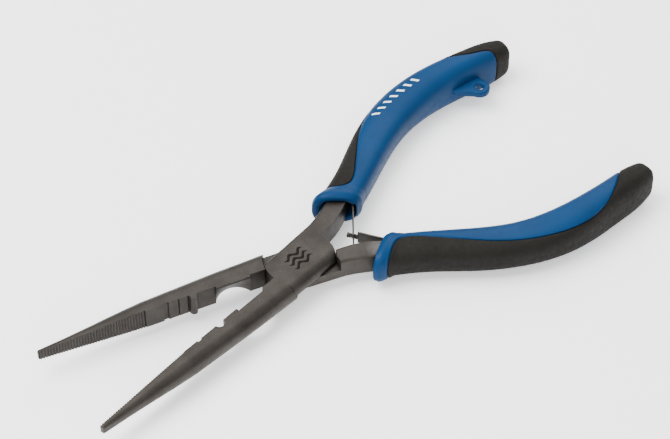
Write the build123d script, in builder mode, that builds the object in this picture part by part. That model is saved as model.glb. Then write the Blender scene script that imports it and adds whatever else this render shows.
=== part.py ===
"""Long-nose fishing pliers with a lap joint, two interlocked return springs and two-colour grips.

The pivot axis is the Z axis. The origin is on the underside of the joint. The jaws point along -X
and the handles along +X. The pliers are modelled partly open, as their springs hold them.
"""

import os
from math import cos, radians, sin, sqrt

from build123d import *

os.makedirs("parts", exist_ok=True)

# ---- driving dimensions, in millimetres and degrees -----------------------------------------------
OPENING = 22.96  # angle between the two jaws as the springs hold them
THICK = 8.2  # thickness of the joint, the shanks and the base of the jaws
LAP = THICK / 2  # each lever is halved where it laps over the other
MID = THICK / 2
FACE_GAP = 0.05  # each jaw face stands this far back from the closing line

# jaws: distance from the pivot, width, depth, radius of the outer rounding
JAW_SECTIONS = [
    (-91.0, 1.6, 3.7, 1.0),
    (-81.0, 2.85, 4.9, 2.1),
    (-72.0, 4.1, 6.1, 3.0),
    (-63.0, 5.3, 7.3, 3.6),
    (-54.0, 6.3, THICK, 4.0),
    (-40.0, 7.15, THICK, 4.0),
    (-27.0, 7.9, THICK, 4.0),
    (-9.5, 8.5, THICK, 4.0),
]
TIP_ROUNDING = 0.7
TEETH_END = -54.0
TOOTH_PITCH = 0.98
TOOTH_DEPTH = 0.34

# crimping zone behind the teeth
CRIMP_START = -47.7
CRIMP_STEP = -46.2
CRIMP_DEPTH = 0.6
CRIMP_RAMP = 0.3
SCALLOPS = [(-45.9, -42.5), (-42.4, -39.3)]
SCALLOP_DEPTH = 0.14
CRIMP_LINES = [-42.45, -39.2]
CRIMP_LINE_DEPTH = 0.4
CRIMP_LINE_WIDTH = 0.6
RIB_X = -37.5
RIB_RADIUS = 1.25
RIB_REACH = 1.5
HOLLOW_RADIUS = 1.75
HOLLOW_DEPTH = 1.8

# side cutter
CUTTER_START = -29.5
CUTTER_END = -17.4
CUTTER_LAND = 0.9
CUTTER_RELIEF = 4.1
RELIEF_SIDE = 0.3
EDGE_HOLLOW = 0.08
BLADE_REACH = 0.7
ANVIL_RECESS = 1.1

# joint
FRONT_RADIUS = 11.6
BACK_RADIUS = 12.6
SHOULDER_CLEARANCE = 0.25
LAP_JAW_SIDE = 8.4
LAP_HANDLE_SIDE = -6.6
LAP_JAW_END = -10.5  # the lap runs on under the base of its own jaw as far as this
FRONT_ARC_MIDDLE = 197.0
BACK_ARC_MIDDLE = 20.0
LAP_ROUNDING = 3.4
LAP_CLEARANCE = 0.02
RIVET_RADIUS = 4.2
RIVET_HEAD_RADIUS = 5.6
RIVET_HEAD_DEPTH = 1.2
RIVET_CLEARANCE = 0.05
RIVET_COVER = 1.0  # the upper lever stays closed above the rivet by this much

# shank and tang: points on the edges, counted along the lever
SHANK_INNER = [(12.0, -1.9), (18.0, -2.0), (27.0, -4.3), (32.0, -6.4)]
SHANK_OUTER = [(12.0, -7.6), (18.0, -8.5), (24.0, -10.3), (28.5, -12.0)]
SHANK_ROUNDING = 0.9
SHANK_END = (0.93, -0.37)  # the way the shank runs into the grip
TANG_LINE = [(27.0, -7.6), (33.0, -9.6), (49.0, -15.2), (65.0, -21.0), (81.0, -23.1), (97.0, -21.2)]
TANG_HALF_WIDTH = 2.9
TANG_DEPTH = 5.0

# grips: the centre line starts in the middle of the slanted mouth
MOUTH_CENTRE = (27.2, -7.8)
MOUTH_ANGLE = -43.0
FRONT_ANGLE = -17.0
GRIP_LINE = [
    MOUTH_CENTRE,
    (40.0, -11.7),
    (56.5, -18.2),
    (73.0, -22.6),
    (89.5, -22.6),
    (105.8, -19.0),
    (123.2, -13.8),
]
GRIP_LINE_ENDS = [(0.956, -0.292), (0.955, 0.3)]  # its directions at both ends
# share of the centre line, half width across the tool, half height
GRIP_SECTIONS = [
    (0.14, 6.45, 5.75),
    (0.23, 6.6, 5.8),
    (0.32, 7.0, 5.9),
    (0.41, 7.3, 5.95),
    (0.50, 7.3, 6.1),
    (0.58, 7.2, 6.7),
    (0.67, 6.7, 7.6),
    (0.76, 6.0, 8.3),
    (0.85, 5.5, 8.5),
    (0.93, 5.3, 8.1),
    (0.975, 4.6, 7.0),
    (1.00, 3.2, 5.2),
]
CORE_SECTIONS = GRIP_SECTIONS[:10]
GRIP_CORNER = 0.72
RING_WIDTH = 5.2
RING_FLARE = 0.4
MOUTH_DEPTH = 5.8
MOUTH_WALL = 1.8
OVERMOULD_INSET = 1.0
# the edge between the two colours of a grip: a curve along its top, then straight across at the end
COLOUR_LINE = [(33, -7.5), (42, -11.5), (55, -20.6), (72, -27.8), (88, -27.6), (100, -24.4), (110, -20.5)]
END_CAP = 114.5
BEYOND = 40.0  # further out than any part of a grip

# lanyard eye on the inner side of the upper grip
EYE_HOLE = (105.2, -9.4)
EYE_HOLE_RADIUS = 1.5
EYE_RADIUS = 3.3
EYE_FIN = [(96.0, -16.5), (102.9, -7.0), (108.4, -8.8), (109.0, -16.0)]
EYE_DEPTH = 2.4

# return springs: each leaf is riveted to a tang inside the grip and leaves it at an angle
LEAF_ROOT = (34.5, -6.72)
LEAF_ANGLE = 42.6
LEAF_SWING = [25.0, 34.0, 42.6, 46.5]  # angles that a leaf passes through, from closed to fully open
LEAF_ROOM = 0.5
LEAF_WIDTH = 5.0
LEAF_DEPTH = 0.65
LEAF_GAP = 0.45
SLOT_LEAF_LENGTH = 18.3
SLOT_START = 14.8
SLOT_END = 17.6
SLOT_WIDTH = 2.8
TONGUE_LEAF_LENGTH = 15.1
TONGUE_END = 18.6
TONGUE_WIDTH = 2.0
ROOT_ANGLE = -18.6
ROOT_LENGTH = 7.0
SPRING_RIVET_PLACE = 3.8
SPRING_RIVET_RADIUS = 1.1
SPRING_RIVET_LENGTH = 4.6
SPRING_RIVET_HEAD_RADIUS = 1.7
SPRING_RIVET_HEAD_DEPTH = 0.5

# ---- the frames that the levers are drawn in --------------------------------------------------------
# In both of them, the jaw is on +y and the handle on -y when the pliers are closed. The upper one is
# turned over about the long axis.


def lever_frame(angle, upper):
    """A frame at the pivot, its x turned by angle degrees from the world's X."""
    direction = (cos(radians(angle)), sin(radians(angle)), 0)
    if upper:
        return Plane(origin=(0, 0, THICK), x_dir=direction, z_dir=(0, 0, -1))
    return Plane(origin=(0, 0, 0), x_dir=direction, z_dir=(0, 0, 1))


LOWER = lever_frame(-OPENING / 2, False)
UPPER = lever_frame(OPENING / 2, True)


def heading(frame, angle):
    """The direction at this angle from a frame's x."""
    return frame.x_dir * cos(radians(angle)) + frame.y_dir * sin(radians(angle))


def across(frame, x):
    """The plane across a lever at x, with its own x along the frame's y and its own y along z."""
    return Plane(origin=frame.from_local_coords((x, 0, 0)), x_dir=frame.y_dir, z_dir=frame.x_dir)


def teeth_outline():
    """Triangular grooves along the gripping part of a jaw face, as one closed outline."""
    start = JAW_SECTIONS[0][0]
    points = [(start - 1, -1), (start - 1, FACE_GAP)]
    count = round((TEETH_END - start) / TOOTH_PITCH)
    for i in range(count):
        x = start + i * TOOTH_PITCH
        points.append((x, FACE_GAP))
        points.append((x + TOOTH_PITCH / 2, FACE_GAP + TOOTH_DEPTH))
    points.append((TEETH_END, FACE_GAP))
    points.append((TEETH_END, -1))
    return points


def circle_x(radius, y):
    """The x at which a circle about the pivot reaches y, on the handle side."""
    return sqrt(radius**2 - y**2)


def circle_point(radius, angle):
    """The point of a circle about the pivot at this angle."""
    return (radius * cos(radians(angle)), radius * sin(radians(angle)))


def tang_solid(frame):
    """The flat tang that continues the shank inside the grip."""
    inner = [(x, y + TANG_HALF_WIDTH) for x, y in TANG_LINE]
    outer = [(x, y - TANG_HALF_WIDTH) for x, y in TANG_LINE]
    with BuildPart() as tang:
        with BuildSketch(frame.offset(MID - TANG_DEPTH / 2)):
            with BuildLine():
                Spline(*inner)
                Line(inner[-1], outer[-1])
                Spline(*outer)
                Line(outer[0], inner[0])
            make_face()
        extrude(amount=TANG_DEPTH)
    return tang.part


def leaf_plane(frame, angle):
    """The plane of a spring leaf: x runs away from the leaf's root, y along the frame's z."""
    origin = frame.from_local_coords((LEAF_ROOT[0], LEAF_ROOT[1], MID))
    along = heading(frame, 180 - angle)
    return Plane(origin=origin, x_dir=along, z_dir=along.cross(frame.z_dir))


def spring_rivet_solid(frame):
    """The rivet through a spring's root into the tang, with its head on the root."""
    root = leaf_plane(frame, 180 - ROOT_ANGLE)
    with BuildPart() as rivet:
        with BuildSketch(root.offset(-LEAF_DEPTH / 2)):
            with Locations((SPRING_RIVET_PLACE, 0)):
                Circle(SPRING_RIVET_RADIUS)
        extrude(amount=SPRING_RIVET_LENGTH)
        with BuildSketch(root.offset(-LEAF_DEPTH / 2)):
            with Locations((SPRING_RIVET_PLACE, 0)):
                Circle(SPRING_RIVET_HEAD_RADIUS)
        extrude(amount=-SPRING_RIVET_HEAD_DEPTH)
    return rivet.part


# ---- levers ---------------------------------------------------------------------------------------
# name, frame, height of the cutting edge, height of the open side of the relief, how far the edge
# stands beyond the closing line, whether this is the lever with the rib that turns on the rivet
LEVERS = [
    ("lower_lever", LOWER, THICK, 0.0, BLADE_REACH, True),
    ("upper_lever", UPPER, 0.0, THICK, -ANVIL_RECESS, False),
]

for name, frame, edge_z, open_z, reach, runs_on_rivet in LEVERS:
    with BuildPart() as lever:
        # jaw: D-shaped sections, flat on the closing side
        for x, width, depth, rounding in JAW_SECTIONS:
            with BuildSketch(across(frame, x)) as section:
                with Locations(((FACE_GAP + width) / 2, MID)):
                    Rectangle(width - FACE_GAP, depth)
                fillet(section.vertices().group_by(Axis.X)[-1], rounding)
        loft(ruled=True)
        tip_edges = lever.edges().filter_by(
            lambda e: frame.to_local_coords(e.center()).X < JAW_SECTIONS[0][0] + 0.01
            and frame.to_local_coords(e.center()).Y > 0.6
        )
        fillet(tip_edges, TIP_ROUNDING)

        # the lap, which is half the thickness
        front_corner = (-circle_x(FRONT_RADIUS, LAP_HANDLE_SIDE), LAP_HANDLE_SIDE)
        front_middle = circle_point(FRONT_RADIUS, FRONT_ARC_MIDDLE)
        back_low = (circle_x(BACK_RADIUS, SHANK_INNER[0][1]), SHANK_INNER[0][1])
        back_high = (circle_x(BACK_RADIUS, LAP_JAW_SIDE), LAP_JAW_SIDE)
        back_middle = circle_point(BACK_RADIUS, BACK_ARC_MIDDLE)
        with BuildSketch(frame):
            with BuildLine():
                ThreePointArc((-FRONT_RADIUS, 0), front_middle, front_corner)
                Polyline(front_corner, SHANK_OUTER[0], SHANK_INNER[0], back_low)
                ThreePointArc(back_low, back_middle, back_high)
                Polyline(back_high, (LAP_JAW_END, LAP_JAW_SIDE), (LAP_JAW_END, 0), (-FRONT_RADIUS, 0))
            make_face()
        extrude(amount=LAP - LAP_CLEARANCE / 2)

        # shank, full thickness; its outer edge carries on from the lap's
        lap_slope = (SHANK_OUTER[0][0] - front_corner[0], SHANK_OUTER[0][1] - front_corner[1])
        with BuildSketch(frame):
            with BuildLine():
                Spline(*SHANK_INNER, tangents=[(1, 0), SHANK_END])
                Line(SHANK_INNER[-1], SHANK_OUTER[-1])
                Spline(*SHANK_OUTER, tangents=[lap_slope, SHANK_END])
                Line(SHANK_OUTER[0], SHANK_INNER[0])
            make_face()
        extrude(amount=THICK)

        # the exposed edge of the lap carries the jaw's rounding on to the shank
        lap_edge = lever.edges().filter_by(
            lambda e: abs(frame.to_local_coords(e.center()).Y - LAP_JAW_SIDE) < 0.01
            and abs(frame.to_local_coords(e.center()).Z) < 0.01
        )
        fillet(lap_edge, LAP_ROUNDING)
        shank_edges = lever.edges().filter_by(
            lambda e: -5 < frame.to_local_coords(e.center()).X < 25
            and frame.to_local_coords(e.center()).Y < LAP_HANDLE_SIDE
            and abs(abs(frame.to_local_coords(e.center()).Z - MID) - MID) < 0.01
        )
        fillet(shank_edges, SHANK_ROUNDING)
        add(tang_solid(frame))
        add(spring_rivet_solid(frame), mode=Mode.SUBTRACT)

        # room for the other lever's lap
        with BuildSketch(frame.offset(LAP - LAP_CLEARANCE / 2)):
            Circle(BACK_RADIUS + SHOULDER_CLEARANCE)
            with Locations((-BACK_RADIUS, 0)):
                Rectangle(BACK_RADIUS, 4 * BACK_RADIUS, mode=Mode.SUBTRACT)
            Circle(FRONT_RADIUS + SHOULDER_CLEARANCE)
        extrude(amount=LAP + 1, mode=Mode.SUBTRACT)

        # the rivet is pressed into a blind hole in the upper lever, and the lower one turns on it
        if runs_on_rivet:
            with BuildSketch(frame):
                Circle(RIVET_RADIUS + RIVET_CLEARANCE)
            extrude(amount=LAP, mode=Mode.SUBTRACT)
            with BuildSketch(frame):
                Circle(RIVET_HEAD_RADIUS + RIVET_CLEARANCE)
            extrude(amount=RIVET_HEAD_DEPTH + LAP_CLEARANCE, mode=Mode.SUBTRACT)
        else:
            with BuildSketch(frame.offset(RIVET_COVER)):
                Circle(RIVET_RADIUS)
            extrude(amount=LAP, mode=Mode.SUBTRACT)

        # gripping teeth
        with BuildSketch(frame.offset(-1)):
            with BuildLine():
                Polyline(*teeth_outline(), close=True)
            make_face()
        extrude(amount=THICK + 2, mode=Mode.SUBTRACT)

        # crimping zone: a step, two shallow scallops, then a rib on one jaw and its hollow on the other
        with BuildSketch(frame.offset(-1)):
            with BuildLine():
                Polyline(
                    (CRIMP_START, -1),
                    (CRIMP_START, CRIMP_DEPTH),
                    (CRIMP_STEP, CRIMP_DEPTH),
                    (CRIMP_STEP + CRIMP_RAMP, FACE_GAP),
                    (CRIMP_STEP + CRIMP_RAMP, -1),
                    close=True,
                )
            make_face()
            for start, end in SCALLOPS:
                middle = ((start + end) / 2, FACE_GAP + SCALLOP_DEPTH)
                with BuildLine():
                    ThreePointArc((start, FACE_GAP), middle, (end, FACE_GAP))
                    Polyline((end, FACE_GAP), (end, -1), (start, -1), (start, FACE_GAP))
                make_face()
            for x in CRIMP_LINES:
                left = x - CRIMP_LINE_WIDTH / 2
                right = x + CRIMP_LINE_WIDTH / 2
                tip = (x, CRIMP_LINE_DEPTH)
                with BuildLine():
                    Polyline((left, -1), (left, 0), tip, (right, 0), (right, -1), close=True)
                make_face()
        extrude(amount=THICK + 2, mode=Mode.SUBTRACT)
        if runs_on_rivet:
            left = RIB_X - RIB_RADIUS
            right = RIB_X + RIB_RADIUS
            with BuildSketch(frame):
                with BuildLine():
                    ThreePointArc((left, 0), (RIB_X, -RIB_REACH), (right, 0))
                    Polyline((right, 0), (right, 1), (left, 1), (left, 0))
                make_face()
            extrude(amount=THICK)
        else:
            left = RIB_X - HOLLOW_RADIUS
            right = RIB_X + HOLLOW_RADIUS
            with BuildSketch(frame.offset(-1)):
                with BuildLine():
                    ThreePointArc((left, 0), (RIB_X, HOLLOW_DEPTH), (right, 0))
                    Polyline((right, 0), (right, -1), (left, -1), (left, 0))
                make_face()
            extrude(amount=THICK + 2, mode=Mode.SUBTRACT)

        # side cutter: a blade or its anvil at one face, and a relief that widens towards the other
        cutter_length = CUTTER_END - CUTTER_START
        cutter_middle = (CUTTER_START + CUTTER_END) / 2
        if reach > 0:
            with BuildSketch(frame):
                with Locations((cutter_middle, (1 - reach) / 2)):
                    Rectangle(cutter_length, 1 + reach)
            extrude(amount=THICK)
        else:
            with BuildSketch(frame.offset(-1)):
                with Locations((cutter_middle, (-reach - 1) / 2)):
                    Rectangle(cutter_length, 1 - reach)
            extrude(amount=THICK + 2, mode=Mode.SUBTRACT)
        toward_open = 1 if open_z > edge_z else -1
        land_z = edge_z + CUTTER_LAND * toward_open
        edge_section = (land_z, -reach, EDGE_HOLLOW - reach)
        open_section = (open_z + 0.01 * toward_open, RELIEF_SIDE, CUTTER_RELIEF)
        for z, side, depth in [edge_section, open_section]:
            with BuildSketch(frame.offset(z)):
                with BuildLine():
                    Polyline((CUTTER_START, side), (CUTTER_START, -2), (CUTTER_END, -2), (CUTTER_END, side))
                    ThreePointArc((CUTTER_END, side), (cutter_middle, depth), (CUTTER_START, side))
                make_face()
        loft(ruled=True, mode=Mode.SUBTRACT)

    lever.part.label = name
    export_step(lever.part, f"parts/{name}.step")

# ---- pivot rivet, its head flush in the underside of the joint --------------------------------------
with BuildPart() as pivot_rivet:
    with BuildSketch():
        Circle(RIVET_RADIUS)
    extrude(amount=THICK - RIVET_COVER)
    with BuildSketch():
        Circle(RIVET_HEAD_RADIUS)
    extrude(amount=RIVET_HEAD_DEPTH)
pivot_rivet.part.label = "pivot_rivet"
export_step(pivot_rivet.part, "parts/pivot_rivet.step")


# ---- grips ----------------------------------------------------------------------------------------
def mouth_plane(frame, distance):
    """A plane parallel to the slanted mouth of a grip, distance behind it, centred on the grip."""
    normal = heading(frame, MOUTH_ANGLE)
    along = heading(frame, FRONT_ANGLE) * (distance / cos(radians(FRONT_ANGLE - MOUTH_ANGLE)))
    centre = frame.from_local_coords((MOUTH_CENTRE[0], MOUTH_CENTRE[1], MID)) + along
    return Plane(origin=centre, x_dir=frame.z_dir.cross(normal), z_dir=normal)


def rounded_section(half_width, half_height, stretch=1.0):
    """The section of a grip, stretched sideways where it is cut at a slant."""
    corner = GRIP_CORNER * min(half_width, half_height)
    RectangleRounded(2 * half_width * stretch, 2 * half_height, corner)


def front_solid(frame, distance, grow):
    """A straight stretch of a grip from its mouth back, cut parallel to the mouth at both ends."""
    slant = cos(radians(FRONT_ANGLE - MOUTH_ANGLE))
    with BuildPart() as front:
        with BuildSketch(mouth_plane(frame, 0)):
            rounded_section(GRIP_SECTIONS[0][1] + grow, GRIP_SECTIONS[0][2] + grow, 1 / slant)
        extrude(amount=distance / slant, dir=heading(frame, FRONT_ANGLE))
    return front.part


def grip_solid(frame, start, grow, sections):
    """The outside of a grip from start behind its mouth, or the same larger or smaller by grow."""
    with BuildLine() as curve:
        Spline(*GRIP_LINE, tangents=GRIP_LINE_ENDS)
    line = curve.line.edges()[0]
    with BuildPart() as solid:
        with BuildSketch(mouth_plane(frame, start)):
            slant = cos(radians(FRONT_ANGLE - MOUTH_ANGLE))
            rounded_section(sections[0][1] + grow, sections[0][2] + grow, 1 / slant)
        for share, half_width, half_height in sections:
            point = line.position_at(share)
            tangent = line.tangent_at(share)
            along = frame.x_dir * tangent.X + frame.y_dir * tangent.Y
            centre = frame.from_local_coords((point.X, point.Y, MID))
            with BuildSketch(Plane(origin=centre, x_dir=frame.z_dir.cross(along), z_dir=along)):
                rounded_section(half_width + grow, half_height + grow)
        loft()
    return solid.part


for side, frame in [("lower", LOWER), ("upper", UPPER)]:
    spring_rivet = spring_rivet_solid(frame)
    spring_rivet.label = f"{side}_spring_rivet"
    export_step(spring_rivet, f"parts/{side}_spring_rivet.step")

    with BuildPart() as spring_root:
        with BuildSketch(leaf_plane(frame, 180 - ROOT_ANGLE)):
            with Locations((ROOT_LENGTH / 2, 0)):
                Rectangle(ROOT_LENGTH, LEAF_WIDTH)
        extrude(amount=LEAF_DEPTH / 2, both=True)
        add(spring_rivet, mode=Mode.SUBTRACT)
    spring_root.part.label = f"{side}_spring_root"
    export_step(spring_root.part, f"parts/{side}_spring_root.step")

    # the upper leaf ends in a slot, and the narrow tongue of the lower leaf passes through it
    with BuildPart() as spring_leaf:
        with BuildSketch(leaf_plane(frame, LEAF_ANGLE)):
            if side == "upper":
                with Locations(((LEAF_GAP + SLOT_LEAF_LENGTH) / 2, 0)):
                    Rectangle(SLOT_LEAF_LENGTH - LEAF_GAP, LEAF_WIDTH)
                with Locations(((SLOT_START + SLOT_END) / 2, 0)):
                    Rectangle(SLOT_END - SLOT_START, SLOT_WIDTH, mode=Mode.SUBTRACT)
            else:
                with Locations(((LEAF_GAP + TONGUE_LEAF_LENGTH) / 2, 0)):
                    Rectangle(TONGUE_LEAF_LENGTH - LEAF_GAP, LEAF_WIDTH)
                with Locations(((TONGUE_LEAF_LENGTH + TONGUE_END) / 2, 0)):
                    Rectangle(TONGUE_END - TONGUE_LEAF_LENGTH, TONGUE_WIDTH)
        extrude(amount=LEAF_DEPTH / 2, both=True)
    spring_leaf.part.label = f"{side}_spring_leaf"
    export_step(spring_leaf.part, f"parts/{side}_spring_leaf.step")

    # the sleeve's core reaches through the overmould, which covers the outer side of the grip
    outside = grip_solid(frame, 1.0, 0, GRIP_SECTIONS)
    core = grip_solid(frame, 2.0, -OVERMOULD_INSET, CORE_SECTIONS)
    pocket = front_solid(frame, MOUTH_DEPTH, RING_FLARE - MOUTH_WALL)
    with BuildPart() as dark_zone:
        with BuildSketch(frame.offset(-BEYOND)):
            with BuildLine():
                Spline(*COLOUR_LINE, (END_CAP, -5.0))
                Polyline(
                    (END_CAP, -5.0),
                    (END_CAP, BEYOND),
                    (END_CAP + BEYOND, BEYOND),
                    (END_CAP + BEYOND, -2 * BEYOND),
                    (COLOUR_LINE[0][0], -2 * BEYOND),
                    COLOUR_LINE[0],
                )
            make_face()
        extrude(amount=2 * BEYOND)
        split(bisect_by=mouth_plane(frame, RING_WIDTH), keep=Keep.TOP)

    with BuildPart() as overmould:
        add(outside)
        add(dark_zone.part, mode=Mode.INTERSECT)
        add(core, mode=Mode.SUBTRACT)
    overmould.part.label = f"{side}_grip_overmould"
    export_step(overmould.part, f"parts/{side}_grip_overmould.step")

    with BuildPart() as sleeve:
        add(outside)
        add(dark_zone.part, mode=Mode.SUBTRACT)
        add(core)
        add(front_solid(frame, RING_WIDTH, RING_FLARE))
        add(pocket, mode=Mode.SUBTRACT)
        add(tang_solid(frame), mode=Mode.SUBTRACT)
        add(spring_root.part, mode=Mode.SUBTRACT)
        add(spring_rivet, mode=Mode.SUBTRACT)
        for angle in LEAF_SWING:
            with BuildSketch(leaf_plane(frame, angle)):
                with Locations((ROOT_LENGTH / 2, 0)):
                    Rectangle(ROOT_LENGTH + 2 * LEAF_ROOM, LEAF_WIDTH + 2 * LEAF_ROOM)
            extrude(amount=LEAF_DEPTH / 2 + LEAF_ROOM, both=True, mode=Mode.SUBTRACT)
        if side == "upper":
            with BuildSketch(frame.offset(MID - EYE_DEPTH / 2)):
                with BuildLine():
                    Polyline(*EYE_FIN, close=True)
                make_face()
                with Locations(EYE_HOLE):
                    Circle(EYE_RADIUS)
            extrude(amount=EYE_DEPTH)
            with BuildSketch(frame.offset(MID - EYE_DEPTH / 2)):
                with Locations(EYE_HOLE):
                    Circle(EYE_HOLE_RADIUS)
            extrude(amount=EYE_DEPTH, mode=Mode.SUBTRACT)
    sleeve.part.label = f"{side}_grip_sleeve"
    export_step(sleeve.part, f"parts/{side}_grip_sleeve.step")
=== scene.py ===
"""The looks of the long-nose fishing pliers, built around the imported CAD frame."""

from math import atan2, cos, degrees, pi, radians, sin

import bmesh
import bpy
import numpy as np
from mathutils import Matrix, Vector


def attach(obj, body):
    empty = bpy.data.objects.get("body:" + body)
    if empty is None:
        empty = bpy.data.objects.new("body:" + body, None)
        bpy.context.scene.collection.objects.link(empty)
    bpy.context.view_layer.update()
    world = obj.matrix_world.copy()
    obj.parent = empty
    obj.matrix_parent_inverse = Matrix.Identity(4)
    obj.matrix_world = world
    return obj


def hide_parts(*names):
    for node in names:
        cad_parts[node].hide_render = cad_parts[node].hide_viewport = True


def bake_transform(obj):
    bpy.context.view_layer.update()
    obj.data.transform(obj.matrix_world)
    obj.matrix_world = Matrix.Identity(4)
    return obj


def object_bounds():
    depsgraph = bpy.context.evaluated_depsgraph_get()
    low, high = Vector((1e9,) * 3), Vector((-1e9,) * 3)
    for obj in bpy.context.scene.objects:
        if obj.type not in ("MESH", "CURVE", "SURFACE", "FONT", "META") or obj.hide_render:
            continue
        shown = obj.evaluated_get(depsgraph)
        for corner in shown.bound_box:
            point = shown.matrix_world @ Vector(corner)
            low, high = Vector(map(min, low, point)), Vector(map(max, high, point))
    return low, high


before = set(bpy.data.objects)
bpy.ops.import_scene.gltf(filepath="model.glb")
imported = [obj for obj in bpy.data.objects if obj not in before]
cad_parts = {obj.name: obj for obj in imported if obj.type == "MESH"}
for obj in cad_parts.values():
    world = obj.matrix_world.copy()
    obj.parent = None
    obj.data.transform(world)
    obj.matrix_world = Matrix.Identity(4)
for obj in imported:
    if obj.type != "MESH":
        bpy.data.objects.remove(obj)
cad_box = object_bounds()

# ---- driving dimensions, in millimetres and degrees ---------------------------------------------
MM = 0.001
OPENING = 22.96  # angle between the two levers at rest
MIDDLE = 4.1  # height of the tool's middle plane
TOP = 8.2  # height of the joint's top face

# grip: its centre line in a lever's own frame, and half sizes of its section along it
GRIP_LINE = [
    (27.2, -7.8),
    (40.0, -11.7),
    (56.5, -18.2),
    (73.0, -22.6),
    (89.5, -22.6),
    (105.8, -19.0),
    (123.2, -13.8),
]
GRIP_LINE_ENDS = [(0.956, -0.292), (0.955, 0.3)]  # its directions at both ends
GRIP_SIZES = [  # share of the line's length, half width, half height
    (0.00, 6.45, 5.75),
    (0.14, 6.45, 5.75),
    (0.32, 7.0, 5.9),
    (0.50, 7.3, 6.1),
    (0.58, 7.2, 6.7),
    (0.67, 6.7, 7.6),
    (0.76, 6.0, 8.3),
    (0.85, 5.5, 8.5),
    (0.93, 5.3, 8.1),
    (1.00, 4.3, 6.8),
]
GRIP_SIZE_ENDS = [(0, 0), (-0.2, -0.25)]  # how fast the half sizes change at both ends
MEAN_RADIUS = 6.6
SQUARENESS = 2.9  # power of the superellipse that a section follows
SLANT = 26.0  # the mouth and the ring are cut at this angle to the centre line
SLANT_FADE = (5.8, 27.8)  # the sections turn square to the line between these distances
MOUTH_SHIFT = {"upper": 0.2, "lower": 1.2}  # how far the ring reaches past the line's start
SHIFT_FADE = (4.0, 22.0)  # that reach fades out between these distances
END_REACH = 1.7  # how far the end cap reaches past the line's end
END_ROUNDING = 2.5
END_CROWN = 0.9
CAP_TURNS = (18, 36, 54, 72, 90)  # rows round the edge of the end cap
CROWN_SHARES = (0.85, 0.65, 0.45, 0.2)  # rows across the end cap, as shares of its half size

# ring round the mouth
LIP = 1.15  # radius of the ring's rounded front edge
LIP_TURNS = (150, 120, 90, 60, 30)
RING_FLARE = 0.35
RING_OUTER_FLARE = 0.85
RING_BULGE = 0.42
RING_FADE = (3.6, 7.2)
POCKET_END = 6.4
POCKET_ROWS = 9
LEAF_NOTCH = 3.0  # half height of the notch that lets the spring leaf out through the ring
NOTCH_FADE = 0.7
NOTCH_WALL = 0.75

# edge between the two colours: distance along the grip, angle round it from its inner side
COLOUR_LINES = {
    "upper": [(7.0, 140), (7.0, 90), (10.2, 73), (22, 109), (33, 136), (46, 157), (62, 160), (76, 124),
              (84, 92), (92.6, 82), (94.0, 60), (94.0, 0)],
    "lower": [(4.9, 140), (4.9, 74), (8.5, 58), (22, 84), (40, 114), (58, 131), (70, 133), (78, 118),
              (86, 88), (91, 60), (93, 28), (93.8, 0)],
}
CORNER_CUTS = 3
LINE_STEP = 0.1
SEAM_WIDTH = 0.55  # on either side of the line, over which the surface rolls down into the seam
SEAM_DEPTH = 0.6
SEAM_SHOULDER = 0.1  # depth of the roll at half its width
SEAM_FOOT = 0.3  # behind the line, the sleeve is at its full recess
RECESS = 0.95  # the sleeve lies this far below the overmould's surface
SHELL = 0.9  # thickness of the overmould
SHELL_GAP = 0.08  # between the front edge of the overmould and the colour line
SHELL_END = 1.4  # the overmould's inner face ends this far past the colour line
SLEEVE_END = 1.0  # and the sleeve this far

# density of the grips' meshes
ROW_STEP = 0.9
FINE_STEP = 0.15
FINE_FRONT = (-0.9, 3.0)  # rows are a fine step apart here, from the front edge of the dark region
FINE_BACK = (-3.4, 0.9)  # and here, from its back edge
LEAST_STEP = 0.06
BLUE_COLUMNS = 46
DARK_COLUMNS = 40
SHELL_COLUMNS = 60
LEAST_ANGLE = 8.0  # the sleeve's columns close up no further than this

# lanyard eye on the upper grip
EYE_HOLE = (105.2, -9.4)
EYE_HOLE_RADIUS = 1.5
EYE_RADIUS = 3.75
EYE_FIN = [(95.0, -17.5), (102.6, -7.3), (108.3, -8.4), (109.6, -17.5)]
EYE_HALF_DEPTH = 1.2
EYE_ROUNDING = 0.55
EYE_STEPS = 72
EYE_PHASE = 0.37  # share of a step that keeps the rays off the fin's corners
EYE_SMOOTHING = 2
EYE_EDGE_TURNS = (0, 22.5, 45, 67.5, 90)

# return springs
LEAF_ROOT = (34.5, -6.72)
LEAF_ANGLE = 137.4
ROOT_ANGLE = -18.6
ROOT_LENGTH = 7.0
LEAF_WIDTH = 5.0
LEAF_DEPTH = 0.55
LEAF_EDGE = 0.12  # rounding of the strip's edges
BEND_REACH = 1.2
BEND_ROWS = 9
SLOT_LEAF_LENGTH = 18.3
SLOT = (14.8, 17.6)
SLOT_WIDTH = 2.8
TONGUE_START = 15.1
TONGUE_END = 18.6
TONGUE_WIDTH = 2.0
ROOT_ROWS = [-ROOT_LENGTH, -ROOT_LENGTH + 0.3, -4]  # distances of the strip's rows from its bend
LEAF_ROWS = [5, 9, 13]
SLOT_ROWS = [SLOT[0], SLOT[0] + 0.4, 16.2, SLOT[1] - 0.4, SLOT[1], SLOT_LEAF_LENGTH - 0.2, SLOT_LEAF_LENGTH]
TONGUE_ROWS = [TONGUE_START - 0.3, TONGUE_START, TONGUE_START + 0.5, 16.8, TONGUE_END - 0.5, TONGUE_END]
STRIP_EDGE = 0.25  # width of the columns along the strip's edges
CUT_EDGE = 0.2  # and beside the slot or the tongue
HEAD_PROFILE = [  # distance from the tongue's end, radius
    (-0.5, 0.0),
    (-0.5, 0.75),
    (-0.35, 0.95),
    (0.0, 0.95),
    (0.25, 0.75),
    (0.35, 0.4),
    (0.38, 0.0),
]
HEAD_STEPS = 24

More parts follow.
